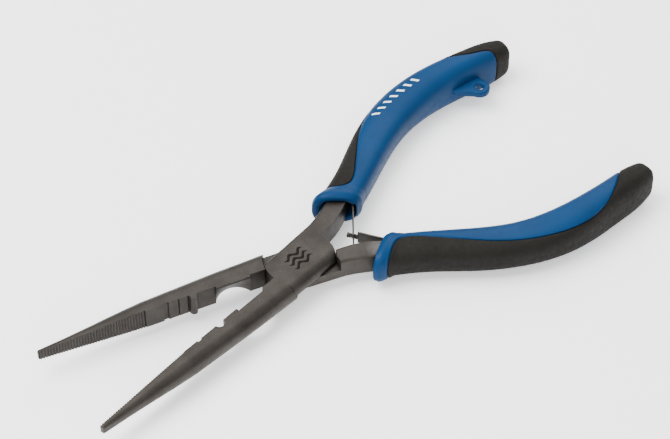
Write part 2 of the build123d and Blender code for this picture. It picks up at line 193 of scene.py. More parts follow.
# generic marks
MARK_LIFT = 0.02
MARK_DEPTH = 0.08
WAVE_LINES = 3
WAVE_COUNT = 2
WAVE_STEPS = 40
WAVE_WIDTH = 9.0
WAVE_HEIGHT = 0.7
WAVE_PITCH = 2.3
WAVE_STROKE = 1.05
WAVE_TAPER = 6  # a stroke reaches its full width at one part in this many from its ends
BAR_COUNT = 7
BAR_ROWS = 8
BAR_COLUMNS = 3
BAR_PLACES = (42.5, 62.5)  # distances along the upper grip
BAR_ANGLES = (117.0, 103.0)  # angles round it
BAR_HEIGHT = 20.0  # in degrees round the grip
BAR_WIDTH = 0.9
BAR_LEAN = 0.066  # in millimetres for each degree round the grip

# colours, as shares of light reflected
STEEL_DARK = (0.029, 0.025, 0.022)
STEEL = (0.039, 0.035, 0.031)
STEEL_WARM = (0.044, 0.039, 0.034)
# bright bare steel, used both for the worn edges and for the painted highlight by the collar
STEEL_WEAR_AND_HIGHLIGHT = (0.105, 0.102, 0.100)
BLUE_DEEP = (0.0009, 0.0235, 0.076)
BLUE = (0.0012, 0.029, 0.093)
BLUE_SCUFF = (0.004, 0.042, 0.122)
RUBBER_DEEP = (0.0056, 0.0049, 0.0039)
RUBBER = (0.0085, 0.0075, 0.0061)
RUBBER_DUST = (0.017, 0.0155, 0.013)
BURNT = (0.010, 0.006, 0.0045)
BURNT_DEEP = (0.006, 0.004, 0.003)
PRINT = (0.80, 0.84, 0.88)
PRINT_THIN = (0.62, 0.70, 0.78)

# lights, in metres and watts, and the room
LIGHTS = [
    ("key_light", (-0.35, 0.25, 0.9), 0.7, 20.0),
    ("fill_light", (-0.5, -0.7, 0.6), 0.8, 7.0),
    ("back_light", (0.7, 0.5, 0.7), 0.8, 8.0),
]
WORLD_STRENGTH = 1.35
WALL_TONE = (0.18, (0.16, 0.16, 0.16, 1.0))  # below this share of the way up the room
CEILING_TONE = (0.62, (1.0, 1.0, 1.0, 1.0))  # above this one
FLOOR_SIZE = 3.0
FLOOR_SQUARES = 8

# camera
CAMERA_TARGET = (24.6, 12.8, 0.0)
CAMERA_DISTANCE = 800.0
CAMERA_HEADING = 53.34
CAMERA_ELEVATION = 46.92
CAMERA_LENS = 127.1
SENSOR_WIDTH = 36.0
CLIP_START = 0.01
CLIP_END = 20.0


# ---- curves and frames -----------------------------------------------------------------------------
def place(side, x, y, height):
    """A point of one lever's own frame, height above the middle plane, as a point of the row frame."""
    turn = radians(OPENING / 2)
    turned_x = x * cos(turn) + y * sin(turn)
    turned_y = y * cos(turn) - x * sin(turn)
    if side == "upper":
        turned_y = -turned_y
    return Vector((turned_x, turned_y, MIDDLE + height)) * MM


class Spline:
    """A cubic spline through values at rising places, with a given slope at both ends."""

    def __init__(self, places, values, first_slope, last_slope):
        self.places = np.array(places, float)
        self.values = np.array(values, float)
        gaps = np.diff(self.places)
        rises = np.diff(self.values, axis=0) / gaps[:, None]
        count = len(self.places)
        matrix = np.eye(count)
        sums = np.zeros_like(self.values)
        sums[0] = first_slope
        sums[-1] = last_slope
        for i in range(1, count - 1):
            matrix[i, i - 1:i + 2] = gaps[i], 2 * (gaps[i - 1] + gaps[i]), gaps[i - 1]
            sums[i] = 3 * (gaps[i] * rises[i - 1] + gaps[i - 1] * rises[i])
        self.slopes = np.linalg.solve(matrix, sums)

    def at(self, place):
        """The value and the slope at a place."""
        i = int(np.clip(np.searchsorted(self.places, place) - 1, 0, len(self.places) - 2))
        gap = self.places[i + 1] - self.places[i]
        t = (place - self.places[i]) / gap
        a, b = self.values[i], self.values[i + 1]
        p, q = self.slopes[i] * gap, self.slopes[i + 1] * gap
        value = a + t * p + t**2 * (3 * (b - a) - 2 * p - q) + t**3 * (2 * (a - b) + p + q)
        slope = (p + 2 * t * (3 * (b - a) - 2 * p - q) + 3 * t**2 * (2 * (a - b) + p + q)) / gap
        return value, slope


def fade(place, start, end):
    """0 before start, 1 after end, smooth between."""
    t = min(max((place - start) / (end - start), 0), 1)
    return t * t * (3 - 2 * t)


line_steps = np.linalg.norm(np.diff(np.array(GRIP_LINE), axis=0), axis=1)
line_places = np.concatenate([[0], np.cumsum(line_steps)])
GRIP_LENGTH = line_places[-1]
GRIP_END = GRIP_LENGTH + END_REACH
centre_line = Spline(line_places, GRIP_LINE, *GRIP_LINE_ENDS)
size_places = [share * GRIP_LENGTH for share, _, _ in GRIP_SIZES]
size_values = [(half_width, half_height) for _, half_width, half_height in GRIP_SIZES]
section_sizes = Spline(size_places, size_values, *GRIP_SIZE_ENDS)


def grip_point(side, along, angle, offset=0.0, share=1.0):
    """A point of a grip's surface: a distance along it, an angle round it, and an offset outwards."""
    shifted = along - MOUTH_SHIFT[side] * (1 - fade(along, *SHIFT_FADE))
    (x, y), (way_x, way_y) = centre_line.at(shifted)
    (half_width, half_height), _ = section_sizes.at(max(shifted, 0))
    slant = radians(SLANT) * (1 - fade(along, *SLANT_FADE))
    across = atan2(way_y, way_x) - slant + pi / 2
    c = cos(radians(angle))
    s = sin(radians(angle))
    reach = (abs(c / half_width) ** SQUARENESS + abs(s / half_height) ** SQUARENESS) ** (-1 / SQUARENESS)
    reach = (reach + offset) * share
    sideways = reach * c / cos(slant)
    return place(side, x + sideways * cos(across), y + sideways * sin(across), reach * s)


# ---- mesh helpers ----------------------------------------------------------------------------------
def new_object(name, mesh, material, smooth_angle=38):
    """An object of that mesh with one material, shaded smooth except at edges over smooth_angle."""
    mesh.materials.append(material)
    mesh.shade_smooth()
    mesh.set_sharp_from_angle(angle=radians(smooth_angle))
    made = bpy.data.objects.new(name, mesh)
    bpy.context.scene.collection.objects.link(made)
    return made


def mesh_of(name, points, faces, weld=1e-7):
    """A mesh with its doubled points welded, no empty faces, and its faces turned outwards."""
    work = bmesh.new()
    corners = [work.verts.new(point) for point in points]
    for face in faces:
        work.faces.new([corners[i] for i in face])
    bmesh.ops.remove_doubles(work, verts=work.verts, dist=weld)
    bmesh.ops.dissolve_degenerate(work, edges=work.edges, dist=weld)
    bmesh.ops.recalc_face_normals(work, faces=work.faces)
    mesh = bpy.data.meshes.new(name)
    work.to_mesh(mesh)
    work.free()
    return mesh


def strip(first, second, closed):
    """The faces between two rows of points, given as lists of indices."""
    count = len(first)
    last = count if closed else count - 1
    faces = []
    for i in range(last):
        j = (i + 1) % count
        faces.append((first[i], first[j], second[j], second[i]))
    return faces


def fan(row, middle):
    """The faces that close a row of points onto one point."""
    return [(row[i], row[(i + 1) % len(row)], middle) for i in range(len(row))]


class Rows:
    """Points added row by row, with their indices."""

    def __init__(self):
        self.points = []
        self.faces = []

    def add(self, points):
        start = len(self.points)
        self.points.extend(points)
        return list(range(start, len(self.points)))


# ---- colour line -------------------------------------------------------------------------------------
def cut_corners(points):
    """A smooth line from a control polygon, by cutting its corners several times."""
    line = np.array(points, float)
    for _ in range(CORNER_CUTS):
        near = 0.75 * line[:-1] + 0.25 * line[1:]
        far = 0.25 * line[:-1] + 0.75 * line[1:]
        inner = np.stack([near, far], axis=1).reshape(-1, 2)
        line = np.vstack([line[:1], inner, line[-1:]])
    return line


class Seam:
    """The colour line of one grip, alike above and below, and the way that columns of points follow it."""

    def __init__(self, side):
        self.line = cut_corners(COLOUR_LINES[side])
        self.scale = np.array([1.0, MEAN_RADIUS * pi / 180])
        flat = self.line * self.scale
        lengths = np.concatenate([[0], np.cumsum(np.linalg.norm(np.diff(flat, axis=0), axis=1))])
        places = np.arange(0, lengths[-1], LINE_STEP)
        self.dense = np.stack([np.interp(places, lengths, flat[:, k]) for k in (0, 1)], axis=1)
        self.start = self.line[0, 0]
        self.end = self.line[-1, 0]

    def angle(self, along):
        """The angle from the inner side of the grip to the colour line."""
        return np.interp(along, self.line[:, 0], self.line[:, 1], right=0.0)

    def depth(self, along, angle):
        """How far a point lies inside the dark region, or, below zero, outside it."""
        turned = abs((angle + 180) % 360 - 180)
        spot = np.array([along, turned]) * self.scale
        nearest = np.min(np.linalg.norm(self.dense - spot, axis=1))
        if turned > self.line[0, 1]:
            nearest = min(nearest, abs(along - self.start))
        inside = along >= self.start and turned >= self.angle(along)
        return nearest if inside else -nearest


def row_places(start, end, seam):
    """Distances along a grip for rows of points, closer together round the ends of the dark region."""
    coarse = np.arange(start, end, ROW_STEP)
    front = np.arange(seam.start + FINE_FRONT[0], seam.start + FINE_FRONT[1], FINE_STEP)
    back = np.arange(seam.end + FINE_BACK[0], seam.end + FINE_BACK[1], FINE_STEP)
    wanted = np.concatenate([coarse, front, back, [end]])
    wanted = np.unique(np.round(wanted[(wanted >= start) & (wanted <= end)], 3))
    kept = [wanted[0]]
    for along in wanted[1:]:
        if along - kept[-1] > LEAST_STEP:
            kept.append(along)
    return kept


def spread(start, end, count, edge):
    """Angles from start to end: a few close to both ends, the rest even."""
    close = [0.0, edge * 0.5, edge]
    low = [start + c for c in close]
    high = [end - c for c in reversed(close)]
    inner = list(np.linspace(low[-1], high[0], count))[1:-1]
    return low + inner + high


# ---- grips -----------------------------------------------------------------------------------------
SLEEVE_SEAM = (
    [-SEAM_WIDTH, -SEAM_WIDTH / 2, 0.0, SEAM_FOOT],
    [0.0, -SEAM_SHOULDER, -SEAM_DEPTH, -RECESS],
)
SHELL_SEAM = (
    [0.0, SEAM_WIDTH / 2, SEAM_WIDTH],
    [-SEAM_DEPTH, -SEAM_SHOULDER, 0.0],
)
EDGE_ANGLE = degrees(SEAM_WIDTH / MEAN_RADIUS)


def ring_offset(along, angle):
    """How far the ring stands out from the grip: a flare with a soft bulge, fading into the grip."""
    outer = (1 - cos(radians(angle))) / 2
    flare = RING_FLARE + RING_OUTER_FLARE * outer
    bulge = RING_BULGE * sin(pi * min(max((along - LIP) / (RING_FADE[0] - LIP), 0), 1))
    return flare * (1 - fade(along, *RING_FADE)) + bulge


def pocket_offset(side, along, angle):
    """The pocket's wall, thinner where the spring leaf passes through the ring."""
    height = abs(grip_point(side, along, angle)[2] / MM - MIDDLE)
    notch = (1 - fade(height, LEAF_NOTCH, LEAF_NOTCH + NOTCH_FADE)) * (cos(radians(angle)) > 0)
    wall = RING_FLARE - 2 * LIP
    return wall + notch * (RING_FLARE - NOTCH_WALL - wall)


def sleeve_mesh(side, seam):
    """The blue sleeve: pocket, lip, ring and body, recessed where the overmould covers it."""
    rows = Rows()
    loops = []
    sleeve_end = seam.end + SLEEVE_END

    def column_angles(along):
        edge = max(seam.angle(max(along, seam.start + 0.01)), LEAST_ANGLE)
        blue = spread(-edge, edge, BLUE_COLUMNS, EDGE_ANGLE)
        dark = spread(edge, 360 - edge, DARK_COLUMNS, EDGE_ANGLE)
        return blue + dark[1:-1]

    for along in np.linspace(POCKET_END, LIP, POCKET_ROWS):
        angles = column_angles(0)
        loops.append(rows.add([grip_point(side, along, a, pocket_offset(side, along, a)) for a in angles]))
    for turn in LIP_TURNS:
        along = LIP * (1 - sin(radians(turn)))
        angles = column_angles(0)
        ring = []
        for a in angles:
            outer = ring_offset(LIP, a)
            inner = pocket_offset(side, LIP, a)
            middle = (outer + inner) / 2
            ring.append(grip_point(side, along, a, middle + (outer - inner) / 2 * cos(radians(turn))))
        loops.append(rows.add(ring))
    for along in row_places(LIP, sleeve_end, seam):
        points = []
        for a in column_angles(along):
            offset = np.interp(seam.depth(along, a), *SLEEVE_SEAM)
            points.append(grip_point(side, along, a, ring_offset(along, a) + offset))
        loops.append(rows.add(points))
    for first, second in zip(loops, loops[1:]):
        rows.faces += strip(first, second, closed=True)
    for loop, along in ((loops[0], POCKET_END), (loops[-1], sleeve_end)):
        middle = rows.add([grip_point(side, along, 0, 0, share=0)])[0]
        rows.faces += fan(loop, middle)
    return mesh_of(f"{side}_sleeve", rows.points, rows.faces)


def overmould_mesh(side, seam):
    """The dark overmould: a closed shell over the outer side of the grip and its end."""
    rows = Rows()
    places = row_places(seam.start + SHELL_GAP, GRIP_END - END_ROUNDING, seam)
    inner_end = seam.end + SHELL_END
    outer_loops = []
    inner_loops = []
    open_rows = 0
    for along in places:
        edge = seam.angle(along)
        angles = spread(edge, 360 - edge, SHELL_COLUMNS, EDGE_ANGLE)
        if edge > 0:
            open_rows += 1
        outer = []
        for a in angles:
            lift = np.interp(seam.depth(along, a), *SHELL_SEAM)
            outer.append(grip_point(side, along, a, ring_offset(along, a) + lift))
        outer_loops.append(rows.add(outer))
        if along < inner_end:
            inner = [grip_point(side, along, a, ring_offset(along, a) - SHELL) for a in angles]
            inner_loops.append(rows.add(inner))
    angles = spread(0, 360, SHELL_COLUMNS, EDGE_ANGLE)
    for turn in CAP_TURNS:
        along = GRIP_END - END_ROUNDING * (1 - sin(radians(turn)))
        inset = END_ROUNDING * (1 - cos(radians(turn)))
        outer_loops.append(rows.add([grip_point(side, along, a, -inset) for a in angles]))
    for share in CROWN_SHARES:
        crown = END_CROWN * (1 - share**2)
        points = [grip_point(side, GRIP_END + crown, a, -END_ROUNDING, share) for a in angles]
        outer_loops.append(rows.add(points))
    for loops in (outer_loops, inner_loops):
        for first, second in zip(loops, loops[1:]):
            rows.faces += strip(first, second, closed=False)
        closing = rows.add([sum((rows.points[i] for i in loops[-1]), Vector()) / len(loops[-1])])[0]
        rows.faces += fan(loops[-1][:-1] + loops[-1][:1], closing)[:-1]
    rows.faces += strip(outer_loops[0], inner_loops[0], closed=False)
    for edge in (0, -1):
        outer_edge = [loop[edge] for loop in outer_loops[:open_rows + 1]]
        inner_edge = [loop[edge] for loop in inner_loops[:open_rows + 1]]
        rows.faces += strip(outer_edge, inner_edge, closed=False)
    return mesh_of(f"{side}_overmould", rows.points, rows.faces, weld=1e-6)


def eye_reach(angle):
    """How far the eye's outline is from its hole's middle at this angle."""
    way_x, way_y = cos(angle), sin(angle)
    reach = EYE_RADIUS
    for (ax, ay), (bx, by) in zip(EYE_FIN, EYE_FIN[1:] + EYE_FIN[:1]):
        edge_x, edge_y = bx - ax, by - ay
        from_x, from_y = ax - EYE_HOLE[0], ay - EYE_HOLE[1]
        cross = way_x * edge_y - way_y * edge_x
        along_ray = (from_x * edge_y - from_y * edge_x) / cross
        along_edge = (from_x * way_y - from_y * way_x) / cross
        if along_ray > 0 and 0 <= along_edge <= 1:
            reach = max(reach, along_ray)
    return reach


def eye_mesh():
    """The lanyard eye: a fin whose edges are rounded over at its rim and round its hole."""
    turns = [2 * pi * (i + EYE_PHASE) / EYE_STEPS for i in range(EYE_STEPS)]
    reaches = np.array([eye_reach(turn) for turn in turns])
    for _ in range(EYE_SMOOTHING):
        reaches = (np.roll(reaches, 1) + 2 * reaches + np.roll(reaches, -1)) / 4
    quarter = [radians(a) for a in EYE_EDGE_TURNS]
    rings = []
    for edge, level, angles in (
        ("hole", 1, quarter),
        ("rim", 1, quarter[::-1]),
        ("rim", -1, quarter),
        ("hole", -1, quarter[::-1]),
    ):
        for a in angles:
            inset = EYE_ROUNDING * (1 - cos(a))
            height = level * (EYE_HALF_DEPTH - EYE_ROUNDING * (1 - sin(a)))
            rings.append((edge, inset, height))
    rows = Rows()
    loops = []
    for edge, inset, height in rings:
        points = []
        for turn, outline in zip(turns, reaches):
            reach = EYE_HOLE_RADIUS + inset if edge == "hole" else outline - inset
            x = EYE_HOLE[0] + reach * cos(turn)
            y = EYE_HOLE[1] + reach * sin(turn)
            points.append(place("upper", x, y, height))
        loops.append(rows.add(points))
    for first, second in zip(loops, loops[1:] + loops[:1]):
        rows.faces += strip(first, second, closed=True)
    return mesh_of("lanyard_eye", rows.points, rows.faces)


# ---- return springs ----------------------------------------------------------------------------------
def along_spring(distance):
    """A point of a spring's middle line: below zero along its root, above zero along its leaf."""
    root_x, root_y = cos(radians(ROOT_ANGLE)), sin(radians(ROOT_ANGLE))
    leaf_x, leaf_y = cos(radians(LEAF_ANGLE)), sin(radians(LEAF_ANGLE))
    if distance <= -BEND_REACH:
        return LEAF_ROOT[0] - distance * root_x, LEAF_ROOT[1] - distance * root_y
    if distance >= BEND_REACH:
        return LEAF_ROOT[0] + distance * leaf_x, LEAF_ROOT[1] + distance * leaf_y
    t = (distance + BEND_REACH) / (2 * BEND_REACH)
    rooted = (1 - t) ** 2 * BEND_REACH
    leafed = t**2 * BEND_REACH
    x = LEAF_ROOT[0] + rooted * root_x + leafed * leaf_x
    y = LEAF_ROOT[1] + rooted * root_y + leafed * leaf_y
    return x, y


def spring_mesh(side):
    """One spring as a flat strip, bent at its root, with its slot or its tongue cut out."""
    half = LEAF_WIDTH / 2
    if side == "upper":
        opening = SLOT_WIDTH / 2
        cut = SLOT
        end_rows = SLOT_ROWS
    else:
        opening = TONGUE_WIDTH / 2
        cut = (TONGUE_START, TONGUE_END)
        end_rows = TONGUE_ROWS
    right_half = [opening, opening + CUT_EDGE, half - STRIP_EDGE, half]
    widths = [-width for width in reversed(right_half)] + [0] + right_half
    places = ROOT_ROWS + list(np.linspace(-BEND_REACH, BEND_REACH, BEND_ROWS)) + LEAF_ROWS + end_rows
    rows = Rows()
    loops = []
    for distance in places:
        x, y = along_spring(distance)
        loops.append(rows.add([place(side, x, y, width) for width in widths]))
    for (start, first), (end, second) in zip(zip(places, loops), zip(places[1:], loops[1:])):
        in_cut = cut[0] <= (start + end) / 2 <= cut[1]
        for i in range(len(widths) - 1):
            in_middle = abs(widths[i] + widths[i + 1]) / 2 < opening
            if in_cut and in_middle == (side == "upper"):
                continue
            rows.faces.append((first[i], first[i + 1], second[i + 1], second[i]))
    return mesh_of(f"{side}_return_spring", rows.points, rows.faces)


def thickened(made, depth, edge=0.0):
    """The object's mesh given thickness and, if asked, rounded edges, with the modifiers applied."""
    solid = made.modifiers.new("thickness", "SOLIDIFY")
    solid.thickness = depth * MM
    solid.offset = 0
    if edge:
        bevel = made.modifiers.new("edges", "BEVEL")
        bevel.width = edge * MM
        bevel.segments = 2
        bevel.limit_method = "ANGLE"
        bevel.angle_limit = radians(50)
    return applied(made)


def applied(made):
    """The object with its modifiers applied to its mesh."""
    seen = made.evaluated_get(bpy.context.evaluated_depsgraph_get())
    mesh = bpy.data.meshes.new_from_object(seen)
    made.modifiers.clear()
    made.data = mesh
    return made


def tongue_head_mesh():
    """The small button on the far end of the lower leaf's tongue, which keeps it in the slot."""
    rows = Rows()
    loops = []
    x, y = along_spring(TONGUE_END)
    before_x, before_y = along_spring(TONGUE_END - 1)
    way_x, way_y = x - before_x, y - before_y
    for reach, radius in HEAD_PROFILE:
        ring = []
        for i in range(HEAD_STEPS):
            turn = 2 * pi * i / HEAD_STEPS
            aside = radius * cos(turn)
            spot_x = x + reach * way_x - aside * way_y
            spot_y = y + reach * way_y + aside * way_x
            ring.append(place("lower", spot_x, spot_y, radius * sin(turn)))
        loops.append(rows.add(ring))
    for first, second in zip(loops, loops[1:]):
        rows.faces += strip(first, second, closed=True)
    return mesh_of("tongue_head", rows.points, rows.faces)


# ---- generic marks -----------------------------------------------------------------------------------
def wave_marks_mesh():
    """Three wavy lines across the top of the joint, a hair above the steel."""
    rows = Rows()
    for line in range(WAVE_LINES):
        low = []
        high = []
        for i in range(WAVE_STEPS + 1):
            t = i / WAVE_STEPS
            x = WAVE_WIDTH * (t - 0.5)
            y = WAVE_PITCH * (line - (WAVE_LINES - 1) / 2) + WAVE_HEIGHT * sin(2 * pi * WAVE_COUNT * t)
            thin = WAVE_STROKE / 2 * min(1, WAVE_TAPER * t, WAVE_TAPER * (1 - t))
            low.append(place("upper", x, y - thin, TOP - MIDDLE + MARK_LIFT))
            high.append(place("upper", x, y + thin, TOP - MIDDLE + MARK_LIFT))
        rows.faces += strip(rows.add(low), rows.add(high), closed=False)
    return mesh_of("joint_wave_marks", rows.points, rows.faces)


def bar_marks_mesh():
    """A row of plain slanted bars along the top of the upper grip."""
    rows = Rows()
    for k in range(BAR_COUNT):
        t = k / (BAR_COUNT - 1)
        start = BAR_PLACES[0] + t * (BAR_PLACES[1] - BAR_PLACES[0])
        angle = BAR_ANGLES[0] + t * (BAR_ANGLES[1] - BAR_ANGLES[0])
        previous = None
        for i in range(BAR_ROWS + 1):
            rise = BAR_HEIGHT * (i / BAR_ROWS - 0.5)
            lean = start - rise * BAR_LEAN
            edge = []
            for j in range(BAR_COLUMNS + 1):
                spot = lean + BAR_WIDTH * (j / BAR_COLUMNS - 0.5)
                edge.append(grip_point("upper", spot, angle + rise, MARK_LIFT))
            current = rows.add(edge)
            if previous:
                rows.faces += strip(previous, current, closed=False)
            previous = current
    return mesh_of("grip_bar_marks", rows.points, rows.faces)


# ---- materials -----------------------------------------------------------------------------------------
NOISE_SPAN = (0.3, 0.7)  # most of a noise's values lie between these


class Look:
    """A node-based material under construction, in the object's own coordinates."""

    def __init__(self, name):
        self.material = bpy.data.materials.new(name)
        self.material.use_nodes = True
        self.nodes = self.material.node_tree.nodes
        self.links = self.material.node_tree.links
        self.shader = self.nodes["Principled BSDF"]
        self.place = self.nodes.new("ShaderNodeTexCoord").outputs["Object"]

    def noise(self, size, detail=4.0, stretch=None):
        """A noise with features of about this size in millimetres."""
        node = self.nodes.new("ShaderNodeTexNoise")
        node.inputs["Scale"].default_value = 1 / (size * MM)
        node.inputs["Detail"].default_value = detail
        source = self.place
        if stretch:
            mapping = self.nodes.new("ShaderNodeMapping")
            mapping.inputs["Scale"].default_value = stretch
            self.links.new(source, mapping.inputs["Vector"])
            source = mapping.outputs["Vector"]
        self.links.new(source, node.inputs["Vector"])
        return node.outputs["Fac"]

    def specks(self, size):
        """Small rounded cells of about this size in millimetres."""
        node = self.nodes.new("ShaderNodeTexVoronoi")
        node.inputs["Scale"].default_value = 1 / (size * MM)
        self.links.new(self.place, node.inputs["Vector"])
        return node.outputs["Distance"]

    def ramp(self, value, *stops):
        """Colours by a value: stops are (place, colour)."""
        node = self.nodes.new("ShaderNodeValToRGB")
        bar = node.color_ramp.elements
        for end in (0, -1):
            where, colour = stops[end]
            bar[end].position = where
            bar[end].color = (*colour, 1)
        for where, colour in stops[1:-1]:
            bar.new(where).color = (*colour, 1)
        self.links.new(value, node.inputs["Fac"])
        return node.outputs["Color"]

    def levels(self, value, low, high, start=0.0, end=1.0):
        """A value stretched so that start becomes low and end becomes high."""
        node = self.nodes.new("ShaderNodeMapRange")
        for socket, number in zip(("From Min", "From Max", "To Min", "To Max"), (start, end, low, high)):
            node.inputs[socket].default_value = number
        self.links.new(value, node.inputs["Value"])
        return node.outputs["Result"]

    def mix(self, share, first, second, blend="MIX"):
        """Two colours mixed by a share."""
        node = self.nodes.new("ShaderNodeMix")
        node.data_type = "RGBA"
        node.blend_type = blend
        for socket, source in zip((node.inputs[0], node.inputs[6], node.inputs[7]), (share, first, second)):
            if isinstance(source, tuple):
                socket.default_value = (*source, 1)
            elif isinstance(source, float):
                socket.default_value = source
            else:
                self.links.new(source, socket)
        return node.outputs[2]

    def math(self, operation, first, second):
        """One sum of two values."""
        node = self.nodes.new("ShaderNodeMath")
        node.operation = operation
        for socket, source in zip(node.inputs, (first, second)):
            if isinstance(source, float):
                socket.default_value = source
            else:
                self.links.new(source, socket)
        return node.outputs[0]

    def bump(self, height, distance, strength=1.0, base=None):
        """A bump of this height in millimetres, over another one where base is given."""
        node = self.nodes.new("ShaderNodeBump")
        node.inputs["Strength"].default_value = strength
        node.inputs["Distance"].default_value = distance * MM
        self.links.new(height, node.inputs["Height"])
        if base:
            self.links.new(base, node.inputs["Normal"])
        return node.outputs["Normal"]

    def rounded(self, radius):
        """The surface's direction with its edges rounded off by this radius in millimetres."""
        node = self.nodes.new("ShaderNodeBevel")
        node.samples = 6
        node.inputs["Radius"].default_value = radius * MM
        return node.outputs["Normal"]

    def edges(self, radius, low, high):
        """About 1 on sharp edges and 0 elsewhere."""
        geometry = self.nodes.new("ShaderNodeNewGeometry")
        node = self.nodes.new("ShaderNodeVectorMath")
        node.operation = "DOT_PRODUCT"
        self.links.new(self.rounded(radius), node.inputs[0])
        self.links.new(geometry.outputs["Normal"], node.inputs[1])
        return self.levels(node.outputs["Value"], 1.0, 0.0, low, high)

    def painted_crevice_shade(self, reach, tone):
        """Painted shade: white in the open, and this tone in grooves and corners that a reach in
        millimetres closes.
        """
        node = self.nodes.new("ShaderNodeAmbientOcclusion")
        node.samples = 8
        node.inputs["Distance"].default_value = reach * MM
        return self.ramp(node.outputs["AO"], (0.35, tone), (0.92, (1.0, 1.0, 1.0)))

    def near(self, spot, start, end):
        """1 within start of a spot, 0 beyond end, in millimetres."""
        node = self.nodes.new("ShaderNodeVectorMath")
        node.operation = "DISTANCE"
        self.links.new(self.place, node.inputs[0])
        node.inputs[1].default_value = spot
        return self.levels(node.outputs["Value"], 1.0, 0.0, start * MM, end * MM)

    def finish(self, normal=None, colour=None, roughness=None, **values):
        """Links what varies and sets what doesn't on the shader's own sockets."""
        for socket, source in (("Normal", normal), ("Base Color", colour), ("Roughness", roughness)):
            if source is not None:
                self.links.new(source, self.shader.inputs[socket])
        for socket, value in values.items():
            self.shader.inputs[socket.replace("_", " ")].default_value = value
        return self.material


def lever_steel():
    """Bead-blasted dark steel: fine grain, faint brownish clouds, bright worn edges, a painted highlight by
    the lower grip's collar and painted shade in its grooves and crevices.
    """
    look = Look("lever_steel_blasted")
    clouds = look.noise(9.0, 5.0)
    grain = look.noise(0.35, 3.0)
    colour = look.ramp(clouds, (0.3, STEEL_DARK), (0.55, STEEL), (0.75, STEEL_WARM))
    speckle = look.ramp(grain, (0.35, (0.72, 0.72, 0.72)), (0.65, (1.18, 1.17, 1.16)))
    colour = look.mix(0.55, colour, look.mix(1.0, colour, speckle, "MULTIPLY"))
    patches = look.levels(look.noise(2.5), 0.0, 0.45, 0.4, 0.7)
    worn = look.math("MULTIPLY", look.edges(0.3, 0.9, 0.99), patches)
    colour = look.mix(worn, colour, STEEL_WEAR_AND_HIGHLIGHT)
    # painted highlight: a soft bright patch on the lower shank's top edge by the grip's collar, broken up
    # by noise
    collar_highlight_spot = look.near(place("lower", 25.6, -6.6, 3.6), 0.2, 4.2)
    painted_highlight = look.math("MULTIPLY", collar_highlight_spot, look.levels(look.noise(1.2, 3.0), 0.45, 0.9, *NOISE_SPAN))
    colour = look.mix(painted_highlight, colour, STEEL_WEAR_AND_HIGHLIGHT)
    # painted shade: the steel's colour is darkened in its grooves, teeth and crevices
    colour = look.mix(1.0, colour, look.painted_crevice_shade(1.1, (0.22, 0.21, 0.20)), "MULTIPLY")
    roughness = look.levels(look.noise(3.0, 6.0), 0.4, 0.52, *NOISE_SPAN)
    normal = look.bump(look.noise(0.28, 2.0), 0.012, 0.9, look.rounded(0.07))
    normal = look.bump(look.noise(2.2, 3.0), 0.02, 0.5, normal)
    return look.finish(normal, colour, roughness, Metallic=0.82, Specular_IOR_Level=0.3)


def rivet_steel():
    """Turned steel: fine rings round the pivot and a satin face."""
    look = Look("rivet_steel_turned")
    rings = look.nodes.new("ShaderNodeTexWave")
    rings.wave_type = "RINGS"
    rings.rings_direction = "Z"
    rings.inputs["Scale"].default_value = 1 / (0.9 * MM)
    rings.inputs["Distortion"].default_value = 0.6
    look.links.new(look.place, rings.inputs["Vector"])
    colour = look.ramp(rings.outputs["Fac"], (0.2, (0.085, 0.08, 0.075)), (0.8, (0.15, 0.145, 0.14)))
    normal = look.bump(rings.outputs["Fac"], 0.01, 0.6, look.rounded(0.2))
    roughness = look.levels(look.noise(1.2, 4.0), 0.3, 0.45, *NOISE_SPAN)
    return look.finish(normal, colour, roughness, Metallic=0.9)


def spring_steel():
    """Blued spring strip with faint lengthwise rolling marks."""
    look = Look("spring_steel_strip")
    marks = look.noise(0.5, 3.0, (0.25, 0.25, 2.0))
    colour = look.ramp(marks, (0.3, (0.030, 0.027, 0.024)), (0.7, (0.065, 0.060, 0.055)))
    worn = look.edges(0.15, 0.8, 0.99)
    colour = look.mix(worn, colour, (0.16, 0.155, 0.15))
    roughness = look.levels(look.noise(1.5, 4.0), 0.28, 0.42, *NOISE_SPAN)
    normal = look.bump(marks, 0.008, 0.7, look.rounded(0.12))
    return look.finish(normal, colour, roughness, Metallic=0.88)


def blue_plastic():
    """Satin moulded blue plastic: an even grain, soft clouds and faint handling scuffs."""
    look = Look("blue_plastic_moulded")
    clouds = look.noise(14.0, 4.0)
    colour = look.ramp(clouds, (0.3, BLUE_DEEP), (0.7, BLUE))
    scuffs = look.levels(look.noise(0.9, 6.0, (0.3, 1.0, 1.0)), 0.0, 0.16, 0.6, 0.8)
    colour = look.mix(scuffs, colour, BLUE_SCUFF)
    grain = look.specks(0.42)
    roughness = look.levels(look.noise(1.8, 5.0), 0.36, 0.5, *NOISE_SPAN)
    normal = look.bump(grain, 0.012, 0.55)
    normal = look.bump(look.noise(5.0, 2.0), 0.05, 0.35, normal)
    return look.finish(normal, colour, roughness, Specular_IOR_Level=0.08)


def dark_rubber():
    """Matt dark rubber with a fine stippled grain and a faint dusty bloom."""
    look = Look("dark_rubber_stippled")
    clouds = look.noise(11.0, 5.0)
    colour = look.ramp(clouds, (0.3, RUBBER_DEEP), (0.7, RUBBER))
    dust = look.levels(look.noise(0.7, 6.0), 0.0, 0.35, 0.56, 0.78)
    colour = look.mix(dust, colour, RUBBER_DUST)
    stipple = look.specks(0.36)
    roughness = look.levels(look.noise(1.4, 4.0), 0.6, 0.78, *NOISE_SPAN)
    normal = look.bump(stipple, 0.03, 0.6)
    normal = look.bump(look.noise(4.0, 2.0), 0.04, 0.3, normal)
    return look.finish(normal, colour, roughness, Specular_IOR_Level=0.12)


